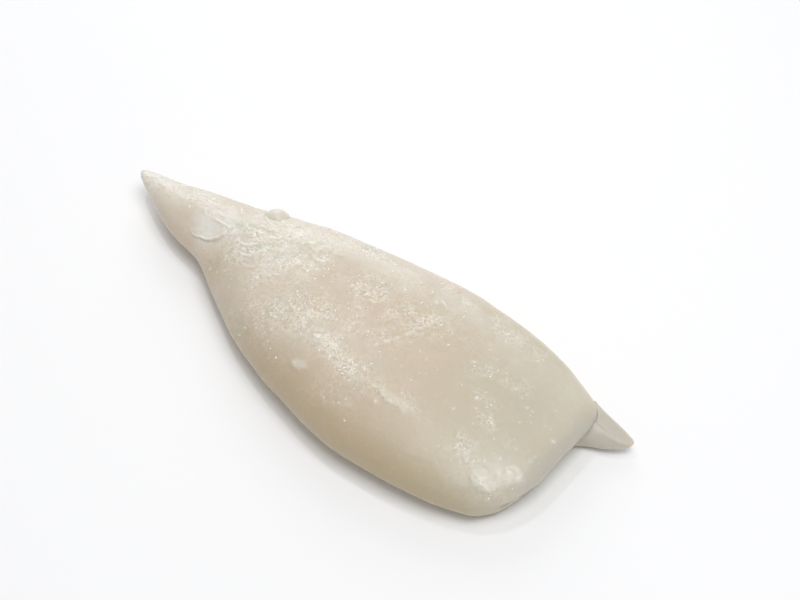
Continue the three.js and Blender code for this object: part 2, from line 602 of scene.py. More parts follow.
@dataclass(frozen=True)
class SoftPlace:
    """A box of the tube, in millimetres, in which its skin is smoothed."""

    low: tuple[float, float, float]
    high: tuple[float, float, float]
    facing_up: float
    rounds: int
    heights_only: bool = False

    def holds(self, vertex: bmesh.types.BMVert) -> bool:
        """Whether the vertex lies in the box and faces up enough."""
        inside = all(a < c / MM < b for a, c, b in zip(self.low, vertex.co, self.high))
        return inside and vertex.normal.z > self.facing_up


class Ice(enum.Enum):
    """How a patch of ice froze.

    The values are a cell's size, the half width of the walls between cells as a share of a cell, how far the
    walls stand out, the ice's thickness, and how milky it is.
    """

    BUBBLY = (2.9, 0.42, 0.35, 0.15, 0.05)
    SNOWY = (1.5, 0.55, 0.2, 0.15, 0.25)
    SMOOTH = (4.0, 0.3, 0.1, 0.2, 0.4)

    @property
    def cell(self) -> float:
        """The size of a cell."""
        return self.value[0]

    @property
    def wall(self) -> float:
        """The half width of the walls between cells, as a share of a cell."""
        return self.value[1]

    @property
    def ridge(self) -> float:
        """How far the walls stand out of the ice."""
        return self.value[2]

    @property
    def bulk(self) -> float:
        """The ice's thickness where the zone is full."""
        return self.value[3]

    @property
    def milk(self) -> float:
        """How white the ice is between its walls."""
        return self.value[4]


@dataclass(frozen=True)
class Patch:
    """A patch of ice on the skin: where it lies, how it froze and how much it hides the flesh.

    Its outline is ragged, and its cells are bent, with finer cells between them and gaps in their walls.
    """

    zone: Zone
    ice: Ice
    cover: float = 0.8
    rag: float = 0.5
    rag_size: float = 4.5
    edge: tuple[float, float] = (0.4, 1.1)
    bend: float = 0.7
    bend_size: float = 2.0
    fine_cells: float = 0.45
    fine_walls: float = 0.7
    gap_size: float = 3.0

    def freeze(self, points: np.ndarray, shift: float) -> tuple[np.ndarray, np.ndarray, np.ndarray]:
        """Freezes the patch on points of the skin.

        Args:
            points: Rows of x, y and z in millimetres.
            shift: Moves the pattern, so that two patches differ.

        Returns:
            The ice's height, how much it hides the flesh, and how much of it is white rim.
        """
        full = self.zone.weight(points) + self.rag * fractal(points, self.rag_size, 3, shift)
        edge = smooth(full, *self.edge)
        bends = [fractal(points, self.bend_size, 2, shift + k) for k in (1, 2, 3)]
        bent = points + self.bend * np.stack(bends, axis=1)
        rims = cell_rims(bent, self.ice.cell, self.ice.wall, shift)
        fine = cell_rims(bent, self.ice.cell * self.fine_cells, self.ice.wall, shift + 5) * self.fine_walls
        broken = smooth(fractal(points, self.gap_size, 2, shift + 9), -0.6, 0.4)
        rims = np.maximum(rims, fine) * broken
        height = edge * (self.ice.bulk + self.ice.ridge * rims)
        return height, self.cover * edge, np.maximum(rims, self.ice.milk) * edge


@dataclass
class Mantle:
    """The skinned body sac: the CAD solid's form with the small swells, folds and ice of the real skin.

    The places of the ice and the frost are the photograph's, seen from above. A pair of numbers for an edge
    says where it starts and where it is full, and a pair for a bump gives its middle and its reach.
    """

    subdivisions: int = 2
    icy_share: float = 0.42
    lip_band: float = 1.6
    lump_band: float = 6.0
    relief_heights: tuple[float, float] = (0.0, 2.5)
    swell: float = 0.3
    swell_size: float = 17.0
    pucker: float = 0.07
    pucker_size: float = 3.2
    glaze_bumps: float = 0.14
    glaze_bump_size: float = 1.8
    crease_depth: float = 0.3
    crease_width: float = 0.6
    creases: tuple[Path, ...] = (
        Path(((-10.4, -18.2), (-3.1, -19.0), (3.9, -15.8), (9.5, -11.0))),
        Path(((7.4, -11.7), (13.3, -7.9), (17.9, 0.2), (28.8, 12.3), (32.8, 17.9))),
        Path(((16.5, -8.2), (23.8, 0.1), (29.0, 7.6))),
    )
    # The glaze ice has run off the tail over the waist and froze there as a lip with a thick, bright rim.
    lip: Path = Path(
        (
            (-63.2, -4.6),
            (-61.3, -5.0),
            (-60.0, -5.0),
            (-58.7, -4.5),
            (-57.7, -4.4),
            (-56.5, -4.3),
            (-55.1, -3.9),
            (-53.9, -3.4),
            (-52.9, -2.6),
            (-52.2, -1.9),
            (-51.6, -0.7),
            (-50.9, 0.3),
            (-50.8, 2.8),
            (-49.7, 4.8),
        )
    )
    lip_height: float = 0.75
    lip_reach: float = 3.5
    lip_bead: float = 0.3
    lip_cover: float = 0.85
    rim_height: float = 0.3
    rim_width: float = 0.42
    rim_cover: float = 0.8
    rims: tuple[Path, ...] = (
        Path(((-59.6, 2.5), (-58.5, 3.6), (-56.9, 3.7), (-55.5, 3.8), (-54.0, 3.6), (-52.4, 3.4))),
        Path(((-64.8, 5.2), (-64.3, 4.7), (-62.5, 3.0), (-62.1, 2.6))),
        Path(((-61.2, 4.6), (-60.2, 5.4))),
        Path(((-58.3, 5.6), (-57.4, 6.5))),
        Path(((-62.2, 8.0), (-60.4, 8.5))),
        Path(((-59.5, 12.4), (-58.2, 12.0))),
        Path(((-56.6, 14.2), (-56.0, 13.6), (-53.3, 11.1), (-52.8, 10.6))),
        Path(((-45.6, 15.4), (-44.9, 14.1), (-40.2, 11.3), (-37.1, 11.5), (-35.4, 15.0))),
        Path(((-44.4, -0.7), (-40.0, -1.1), (-37.4, -0.4), (-36.5, 1.6))),
        Path(((-36.1, 5.7), (-34.0, 6.2), (-31.8, 7.2), (-31.9, 9.7))),
        Path(((-40.1, -4.4), (-37.1, -4.6), (-35.0, -4.1), (-34.5, -1.9))),
        Path(((-21.1, -0.7), (-19.2, 0.2), (-18.4, 3.1), (-15.8, 5.8))),
        Path(((-42.4, 5.1), (-42.0, 7.2), (-40.9, 8.5), (-38.4, 8.8))),
        Path(((-24.4, 9.5), (-23.6, 11.6), (-21.5, 12.7), (-20.5, 15.0))),
        Path(((-17.9, 8.3), (-14.8, 7.9), (-12.7, 9.0), (-12.5, 11.7))),
        Path(((-36.0, -7.2), (-32.8, -7.6), (-30.3, -6.8), (-30.0, -4.7))),
        Path(((-26.1, -6.8), (-23.2, -7.0), (-21.6, -4.9), (-19.1, -4.2))),
        Path(((-73.6, 6.6), (-71.2, 7.1), (-69.3, 8.2), (-67.6, 9.3))),
        Path(((21.5, -9.0), (22.5, -6.6), (26.1, 1.2), (28.5, 8.3), (32.5, 18.0))),
        Path(((5.4, 0.8), (6.2, 1.8), (8.3, 1.6), (9.9, 3.6), (9.4, 6.5))),
        Path(((8.0, 7.0), (10.2, 6.2), (11.6, 7.4), (12.2, 10.4))),
        Path(((27.9, 15.2), (26.3, 17.5), (25.8, 20.0), (27.2, 21.6), (29.4, 20.4), (29.6, 19.0))),
        Path(((15.6, 0.2), (17.2, 2.2))),
    )
    # Small dabs of white ice; at some of them the white is a painted glint.
    dab_height: float = 0.24
    dab_and_glint_cover: float = 0.85
    dabs: tuple[Zone, ...] = (
        Zone(9.4, -18.6, 0.7, 0.7),
        Zone(11.5, -6.8, 1.5, 0.8, 40),
        Zone(20.4, -16.3, 0.6, 0.6),
        Zone(35.6, -21.6, 0.6, 0.6),
        Zone(57.8, 0.6, 1.1, 0.7, 40),
        Zone(63.9, 11.9, 0.55, 0.55),
        Zone(83.3, 6.1, 0.9, 0.6),
        Zone(49.2, 10.2, 1.0, 0.6, 30),
        Zone(53.7, 12.2, 0.8, 0.6),
        Zone(40.8, 14.1, 0.7, 0.5),
        Zone(32.8, 9.0, 0.9, 0.5, 60),
        Zone(-52.3, -1.2, 1.6, 0.8, 60, 0.8),
        Zone(-52.6, 1.8, 0.9, 0.6, 0, 0.6),
    )
    lump_place: tuple[float, float, float] = (-42.6, 17.4, 17.4)
    lump_half: tuple[float, float] = (4.3, 4.2)
    lump_height: float = 2.2
    lump_cover: float = 0.85
    lump_milk: float = 0.35
    lump_outline: float = 0.6
    patch_least: float = 0.08
    patches: tuple[Patch, ...] = (
        Patch(Zone(-36, 4, 13, 11, 15, 1.1), Ice.BUBBLY, 0.7),
        Patch(Zone(-20, 12, 11, 6, 0, 0.9), Ice.BUBBLY, 0.55),
        Patch(Zone(-12.5, -11.5, 3.5, 2.5, 30, 1.0), Ice.SNOWY),
        Patch(Zone(-2, -10, 3, 2, 30, 0.9), Ice.SNOWY, 0.6),
        Patch(Zone(8.3, -15.5, 4.5, 2.2, 20, 1.1), Ice.SNOWY),
        Patch(Zone(20, -16.5, 3, 1.6, 20, 0.9), Ice.SNOWY, 0.7),
        Patch(Zone(8, -25.5, 3.5, 2.4, 20, 1.0), Ice.SMOOTH, 0.6),
        Patch(Zone(39, -17.3, 11, 2.6, 3, 1.1), Ice.SMOOTH, 0.5),
        Patch(Zone(45.5, -16.3, 4, 2.0, 0, 1.0), Ice.SNOWY, 0.55),
        Patch(Zone(76.5, -19, 6.5, 3.8, -10, 1.3), Ice.SMOOTH, 0.42),
        Patch(Zone(81.8, -11, 3.0, 4.8, 20, 1.4), Ice.SMOOTH, 0.5),
        Patch(Zone(83, -3, 1.8, 3.5, 0, 0.8), Ice.SNOWY, 0.5),
        Patch(Zone(-92, 6, 4.0, 2.4, 10, 1.0), Ice.SNOWY, 0.8),
        Patch(Zone(-72, 6, 8, 3.5, 20, 0.9), Ice.SNOWY, 0.5),
    )
    glaze_break_size: float = 6.0
    glaze_heights: tuple[float, float] = (3.0, 11.0)
    glaze_zones: tuple[Zone, ...] = (
        Zone(-33, 5, 18, 16, 20, 0.8),
        Zone(-78, 6, 30, 9, 5, 0.8),
        Zone(-56, 1, 7, 6, 0, 1.5),
        Zone(-93, 5, 8, 6, 0, 1.0),
        Zone(-10, 22, 34, 7, 0, 0.6),
        Zone(40, 26, 40, 7, -8, 0.5),
        Zone(3, -14, 24, 7, 8, 0.35),
        Zone(78, -15, 9, 9, 40, 0.6),
        Zone(76, 28, 8, 5, 0, 0.45),
    )
    frost_everywhere: float = 0.06
    frost_break_size: float = 7.0
    frost_heights: tuple[float, float] = (0.5, 2.0)
    frost_zones: tuple[Zone, ...] = (
        Zone(2, 3, 44, 24, 8, 0.33),
        Zone(18, 4, 22, 14, 15, 0.42),
        Zone(-30, 6, 20, 14, 15, 1.0),
        Zone(-8, -13, 13, 8, 25, 1.0),
        Zone(10, -15.5, 7, 4, 0, 1.0),
        Zone(6, 10, 10, 6, 0, 0.8),
        Zone(27, 13, 9, 5, 0, 0.75),
        Zone(20, -3.5, 9, 3.5, 20, 0.65),
        Zone(21.5, -17.5, 9, 4.5, -10, 0.9),
        Zone(23, -26, 8, 4, -20, 0.45),
        Zone(40, -16.5, 11, 4, 8, 0.42),
        Zone(68, -15.5, 6, 5, 0, 0.5),
        Zone(77, -17, 8, 7, 0, 0.25),
        Zone(54.2, 10.6, 5, 3, 40, 0.42),
        Zone(62.6, 13.5, 5, 3.5, 20, 0.48),
        Zone(60.4, 2.3, 4.5, 2, 10, 0.5),
        Zone(65.8, -3.5, 4, 3, 0, 0.55),
        Zone(63.3, -13, 3, 2, 0, 0.5),
        Zone(73.2, -3.9, 2.5, 2.5, 0, 0.5),
        Zone(83.3, 6.1, 1.5, 1.2, 0, 0.5),
        Zone(51, 28, 12, 4, -5, 0.7),
        Zone(-73, 8, 15, 5, 5, 0.85),
        Zone(-93, 6, 5, 4, 0, 0.9),
        Zone(-23, -15.5, 10, 8, 0, 0.4),
        Zone(-8, 23, 28, 5, 0, 0.6),
        Zone(28, 27, 16, 4, -5, 0.5),
        Zone(-45, 13, 8, 4, 0, 0.6),
    )
    bare_zones: tuple[Zone, ...] = (
        Zone(-4, 2, 6.5, 2.8, 0, 0.9),
        Zone(34, -6, 8, 6, 20, 0.7),
        Zone(45, 0, 6, 8, 0, 0.7),
    )
    speck_everywhere: float = 0.15
    speck_zones: tuple[Zone, ...] = (
        Zone(58, 4, 20, 16, 0, 0.8),
        Zone(70, -14, 14, 9, 0, 0.8),
        Zone(30, 5, 18, 14, 0, 0.5),
        Zone(0, -5, 25, 18, 0, 0.7),
        Zone(-40, 2, 25, 12, 0, 0.6),
    )
    frost_relief: float = 0.16
    frost_relief_size: float = 1.9
    blush_ends: tuple[float, float] = (20.0, 60.0)
    olive_along: tuple[float, float] = (35.0, 75.0)
    olive_strength: float = 0.75
    shaded_side: tuple[float, float] = (12.0, 34.0)
    shaded_waist: Zone = Zone(-45, -10, 9, 6, -20)
    shade_strength: float = 0.6
    grey_lips: tuple[float, float] = (80.0, 88.0)
    grey_lips_strength: float = 0.8
    # Painted shade: the lobe's tip, which faces the key light, is painted greyer.
    shaded_lobe_tip: tuple[float, float] = (90.0, 97.0)
    shaded_lobe_tip_strength: float = 0.2
    # Where the upper lip's edge rests on the lobe, the two are stuck together by a fillet of frozen juice. It
    # lies on the lobe's top, and on its wall where that stands clear of the lip.
    seam: Path = Path(((87.4, 12.0), (87.3, 20.0), (86.9, 24.0), (84.9, 28.0), (82.5, 31.0)))
    seam_fillet: float = 2.5
    seam_reach: float = 2.2
    seam_along: tuple[float, float] = (80.0, 83.0)
    seam_across: tuple[float, float] = (15.0, 19.0)
    seam_ceiling: tuple[float, float] = (7.0, 8.0)
    clear_along: tuple[float, float] = (87.4, 88.0)
    clear_height: tuple[float, float] = (2.5, 4.2)
    # The solid has a narrow notch along the lobe's root, which the real one hasn't.
    notch: tuple[tuple[float, float, float], ...] = ((86.3, 22.2, 4.4), (94, 26.8, 8.8))
    notch_reach: float = 1.0
    notch_blend: float = 0.12
    # The lips are stuck together at the mouth's lower corner, so that no groove shows there. The filling is a
    # bump across the tube and in height, and starts at an edge along it.
    groove_filling: float = 1.5
    groove_along: tuple[float, float] = (74.0, 79.0)
    groove_across: tuple[float, float] = (-17.5, 5.5)
    groove_height: tuple[float, float] = (4.7, 2.3)
    # The lobe's root, its point in three steps, its top, and the mouth's lower corner.
    soft_places: tuple[SoftPlace, ...] = (
        SoftPlace((86.9, 22.0, 4.4), (98, 27.0, 8.8), -1.1, 60),
        SoftPlace((82.5, 22, 5.2), (89.5, 32, 9.6), -1.1, 25),
        SoftPlace((92, 17, 0), (101, 38, 8), -1.1, 3),
        SoftPlace((94, 17, 0), (101, 38, 8), -1.1, 3),
        SoftPlace((96, 17, 0), (101, 38, 8), -1.1, 4),
        SoftPlace((86.5, 17, 0), (101, 38, 8.5), -0.3, 60, True),
        SoftPlace((87.5, 17, 3), (101, 38, 8.5), 0.25, 20),
        SoftPlace((66, -38, 1.5), (90, -10, 8.5), -1.1, 50),
    )
    body: bpy.types.Object = field(init=False)

    def build(self) -> None:
        """Makes the flesh with its ice and the masks that its finish and the frost read."""
        self.body = make_object("mantle_flesh", self._quads(), RawSquidFlesh().material())
        smoothing = self.body.modifiers.new("smooth", "SUBSURF")
        smoothing.levels = smoothing.render_levels = self.subdivisions
        settle(self.body)
        mesh = self.body.data
        self._refine(mesh)
        points, normals = read_points(mesh), read_normals(mesh)
        ice_height, ice, rim = self._ice(points, normals)
        glaze, frost = self._glaze(points), self._frost(points, normals, ice)
        height = ice_height + self._relief(points, normals, glaze, frost)
        height *= smooth(points[:, 2], *self.relief_heights)
        moved = points + normals * height[:, None]
        moved[:, 2] += self._fillet(points, normals)
        moved[:, 0] += self._filling(points, normals)
        self._close_notch(moved)
        moved[:, 2] = np.maximum(moved[:, 2], 0)
        write_points(mesh, moved)
        self._soften(mesh)
        for name, values in {"ice": ice, "rim": rim, "glaze": glaze, "frost": frost}.items():
            write_mask(mesh, name, values)
        self._write_tone_masks(mesh)

    def dress(self) -> None:
        """Gives the flesh to the frame in place of the CAD solid."""
        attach(self.body, "root")
        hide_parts("mantle")
        log.info("mantle_flesh: %d faces", len(self.body.data.polygons))

    def _quads(self) -> bpy.types.Mesh:
        """Makes a merged copy of the CAD solid's skin, with its triangles joined into quads.

        Returns:
            The copy, which Catmull-Clark smoothing rounds evenly.
        """
        shape = bmesh.new()
        shape.from_mesh(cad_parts["mantle"].data)
        bmesh.ops.remove_doubles(shape, verts=shape.verts, dist=0.001 * MM)
        bmesh.ops.join_triangles(
            shape,
            faces=shape.faces,
            angle_face_threshold=math.radians(120),
            angle_shape_threshold=math.pi,
            topology_influence=2.0,
        )
        mesh = bpy.data.meshes.new("mantle_flesh")
        shape.to_mesh(mesh)
        shape.free()
        return mesh

    def _refine(self, mesh: bpy.types.Mesh) -> None:
        """Halves the faces that carry thick ice, so that its rims come out.

        Args:
            mesh: The flesh's mesh, which is changed.
        """
        shape = bmesh.new()
        shape.from_mesh(mesh)
        faces = [f for f in shape.faces if f.normal.z > 0.05]
        middles = np.array([f.calc_center_median() / MM for f in faces])
        icy = np.max([patch.zone.weight(middles) for patch in self.patches], axis=0) > self.icy_share
        icy |= np.abs(self.lip.measure(middles)[0]) < self.lip_band
        icy |= np.linalg.norm(middles - np.array(self.lump_place), axis=1) < self.lump_band
        edges = {edge for face, chosen in zip(faces, icy) if chosen for edge in face.edges}
        edges = [edge for edge in shape.edges if edge in edges]
        bmesh.ops.subdivide_edges(shape, edges=edges, cuts=1, use_grid_fill=True)
        shape.to_mesh(mesh)
        shape.free()

    def _ice(self, points: np.ndarray, normals: np.ndarray) -> tuple[np.ndarray, np.ndarray, np.ndarray]:
        """Lays the patches, rims, dabs, run-off lip and lump of ice on the skin. Some of the dabs' white is a
        painted glint.

        Args:
            points: Rows of x, y and z in millimetres.
            normals: The skin's normals there.

        Returns:
            The ice's height, how much it hides the flesh, and how much of it is white rim.
        """
        height, cover, rim = (np.zeros(len(points)) for _ in range(3))
        for number, patch in enumerate(self.patches):
            near = (patch.zone.weight(points) > self.patch_least) & (normals[:, 2] > 0)
            up = smooth(normals[near, 2], 0.05, 0.35)
            layers = patch.freeze(points[near], 10.0 * number)
            for total, layer in zip((height, cover, rim), layers):
                total[near] = np.maximum(total[near], layer * up)
        upper = smooth(normals[:, 2], 0.0, 0.3)
        for path in self.rims:
            line = path.line(points, self.rim_width) * upper
            height += self.rim_height * line
            cover, rim = np.maximum(cover, self.rim_cover * line), np.maximum(rim, line)
        # The dabs are white ice, and at some of them the white is a painted glint.
        for dab in self.dabs:
            spot = dab.weight(points) * upper
            height += self.dab_height * spot
            cover, rim = np.maximum(cover, self.dab_and_glint_cover * spot), np.maximum(rim, spot)
        gap, share = self.lip.measure(points)
        taper = np.sqrt(np.sin(math.pi * share).clip(0)) * upper
        bead = bell(gap, 0.5, 0.4) * taper
        sheet = smooth(gap, -0.1, 0.35) * np.exp(-((gap / self.lip_reach) ** 2)) * taper
        height += self.lip_height * sheet + self.lip_bead * bead
        cover, rim = np.maximum(cover, self.lip_cover * bead), np.maximum(rim, bead)
        near, away = self._lump(points)
        height += self.lump_height * near
        rim = np.where(near > 0.2, self.lump_milk, np.maximum(rim, away))
        return height, np.maximum(cover, smooth(near, 0, 0.3) * self.lump_cover), rim

    def _fillet(self, points: np.ndarray, normals: np.ndarray) -> np.ndarray:
        """How far the lobe rises to meet the upper lip's edge.

        Args:
            points: Rows of x, y and z in millimetres.
            normals: The skin's normals there.

        Returns:
            The rise at each point.
        """
        x, y, z = points.T
        gap = np.maximum(-self.seam.measure(points)[0], 0)
        clear = smooth(x, *self.clear_along) * smooth(z, *self.clear_height)
        top = np.maximum(smooth(normals[:, 2], 0.2, 0.6), clear) * smooth(y, *self.seam_across)
        rise = np.exp(-((gap / self.seam_reach) ** 2)) * smooth(x, *self.seam_along)
        return self.seam_fillet * rise * top * (1 - smooth(z, *self.seam_ceiling))

    def _filling(self, points: np.ndarray, normals: np.ndarray) -> np.ndarray:
        """How far the groove at the mouth's lower corner, where the lips are stuck together, is filled.

        Args:
            points: Rows of x, y and z in millimetres.
            normals: The skin's normals there.

        Returns:
            The filling's thickness at each point, along the tube.
        """
        x, y, z = points.T
        place = bell(z, *self.groove_height) * bell(y, *self.groove_across) * smooth(x, *self.groove_along)
        return self.groove_filling * place * smooth(normals[:, 0], -0.1, 0.4)

    def _close_notch(self, points: np.ndarray) -> None:
        """Raises the notch along the lobe's root to the height of the skin on its sides.

        Args:
            points: Rows of x, y and z in millimetres, which are changed.
        """
        low, high = np.array(self.notch)
        inside = np.all((points > low) & (points < high), axis=1)
        near = points[inside]
        apart = np.linalg.norm(near[:, None, :2] - near[None, :, :2], axis=2)
        weight = np.exp(-((apart / self.notch_reach) ** 2))
        high_skin = weight * np.exp(near[:, 2] / self.notch_blend)[None, :]
        level = self.notch_blend * np.log(high_skin.sum(axis=1) / weight.sum(axis=1))
        points[inside, 2] = np.maximum(near[:, 2], level)

    def _soften(self, mesh: bpy.types.Mesh) -> None:
        """Smooths the places where the frozen flesh is rounder than the solid.

        Args:
            mesh: The flesh's mesh, which is changed.
        """
        shape = bmesh.new()
        shape.from_mesh(mesh)
        for place in self.soft_places:
            chosen = [v for v in shape.verts if place.holds(v)]
            for _ in range(place.rounds):
                bmesh.ops.smooth_vert(
                    shape,
                    verts=chosen,
                    factor=0.5,
                    use_axis_x=not place.heights_only,
                    use_axis_y=not place.heights_only,
                    use_axis_z=True,
                )
        shape.to_mesh(mesh)
        shape.free()

    def _lump(self, points: np.ndarray) -> tuple[np.ndarray, np.ndarray]:
        """The clear lens of ice that bulges out of the shoulder.

        Args:
            points: Rows of x, y and z in millimetres.

        Returns:
            Its dome, of height one, and the white line round it.
        """
        off = points - np.array(self.lump_place)
        across = np.hypot(off[:, 1], off[:, 2])
        apart = np.hypot(off[:, 0] / self.lump_half[0], across / self.lump_half[1])
        return np.clip(1 - apart**2, 0, 1) ** 0.75, self.lump_outline * bell(apart, 1.05, 0.12)

    def _glaze(self, points: np.ndarray) -> np.ndarray:
        """How icy the skin is.

        Args:
            points: Rows of x, y and z in millimetres.

        Returns:
            One value a point, from 0 to 1.
        """
        cover = sum(zone.weight(points) for zone in self.glaze_zones)
        broken = 0.8 + 0.5 * fractal(points, self.glaze_break_size, 3, 11.0)
        return np.clip(cover * broken * smooth(points[:, 2], *self.glaze_heights), 0, 1)

    def _relief(
        self, points: np.ndarray, normals: np.ndarray, glaze: np.ndarray, frost: np.ndarray
    ) -> np.ndarray:
        """How far swells, folds, crumpled frost and the glaze's bumps move the skin.

        Args:
            points: Rows of x, y and z in millimetres.
            normals: The skin's normals there.
            glaze: How icy the skin is.
            frost: How frosty it is.

        Returns:
            The way out at each point.
        """
        height = self.swell * fractal(points, self.swell_size, 2, 3.0)
        height += self.pucker * fractal(points, self.pucker_size, 3, 7.0)
        height += self.glaze_bumps * glaze * fractal(points, self.glaze_bump_size, 2, 5.0)
        height += self.frost_relief * frost * fractal(points, self.frost_relief_size, 2, 15.0)
        upper = smooth(normals[:, 2], 0, 0.3)
        for crease in self.creases:
            height -= self.crease_depth * crease.line(points, self.crease_width) * upper
        return height

    def _write_tone_masks(self, mesh: bpy.types.Mesh) -> None:
        """Stores where the flesh is specked, rosier, greener and greyer, and where shade is painted: browner
        on the side away from the light, underneath and in the waist, greyer at the lobe's tip.

        Args:
            mesh: The flesh's mesh, in its last form.
        """
        points, normals = read_points(mesh), read_normals(mesh)
        x, y = points[:, 0], points[:, 1]
        speck = self.speck_everywhere + np.max([zone.weight(points) for zone in self.speck_zones], axis=0)
        # Painted shade: the side that faces away from the light, the undersides and the waist valley are
        # painted browner.
        side = smooth(-y, *self.shaded_side) * smooth(-normals[:, 1], -0.1, 0.9)
        under = 0.6 * smooth(-normals[:, 2], -0.25, 0.6)
        shade = np.maximum(np.maximum(side, under), self.shaded_waist.weight(points))
        lips = self.grey_lips_strength * smooth(x, *self.grey_lips)
        # Painted shade: the lobe's tip is painted greyer, on top of the grey of the thin lips.
        lobe = self.shaded_lobe_tip_strength * smooth(x, *self.shaded_lobe_tip)
        write_mask(mesh, "speck", speck * smooth(normals[:, 2], -0.2, 0.5))
        write_mask(mesh, "blush", 1 - smooth(x, *self.blush_ends))
        write_mask(mesh, "olive", self.olive_strength * smooth(x, *self.olive_along))
        write_mask(mesh, "shade", self.shade_strength * shade)
        write_mask(mesh, "lips", lips + lobe)

    def _frost(self, points: np.ndarray, normals: np.ndarray, ice: np.ndarray) -> np.ndarray:
        """How much frost has grown on the skin, less of it where the ice is thick.

        Args:
            points: Rows of x, y and z in millimetres.
            normals: The skin's normals there.
            ice: How much ice hides the flesh.

        Returns:
            One value a point, from 0 to 1.
        """
        cover = self.frost_everywhere + np.max([zone.weight(points) for zone in self.frost_zones], axis=0)
        for zone in self.bare_zones:
            cover = cover * (1 - zone.weight(points))
        broken = 0.9 + 0.7 * fractal(points, self.frost_break_size, 3, 19.0)
        upper = smooth(normals[:, 2], -0.3, 0.4) * smooth(points[:, 2], *self.frost_heights)
        return np.clip(cover * broken, 0, 1) * upper * (1 - 0.5 * ice)


# ---------------------------------------------------------------------------------------------- the frost


class Grain(enum.Enum):
    """The kinds of frost grain."""

    SPECK = "speck"
    THREAD = "thread"


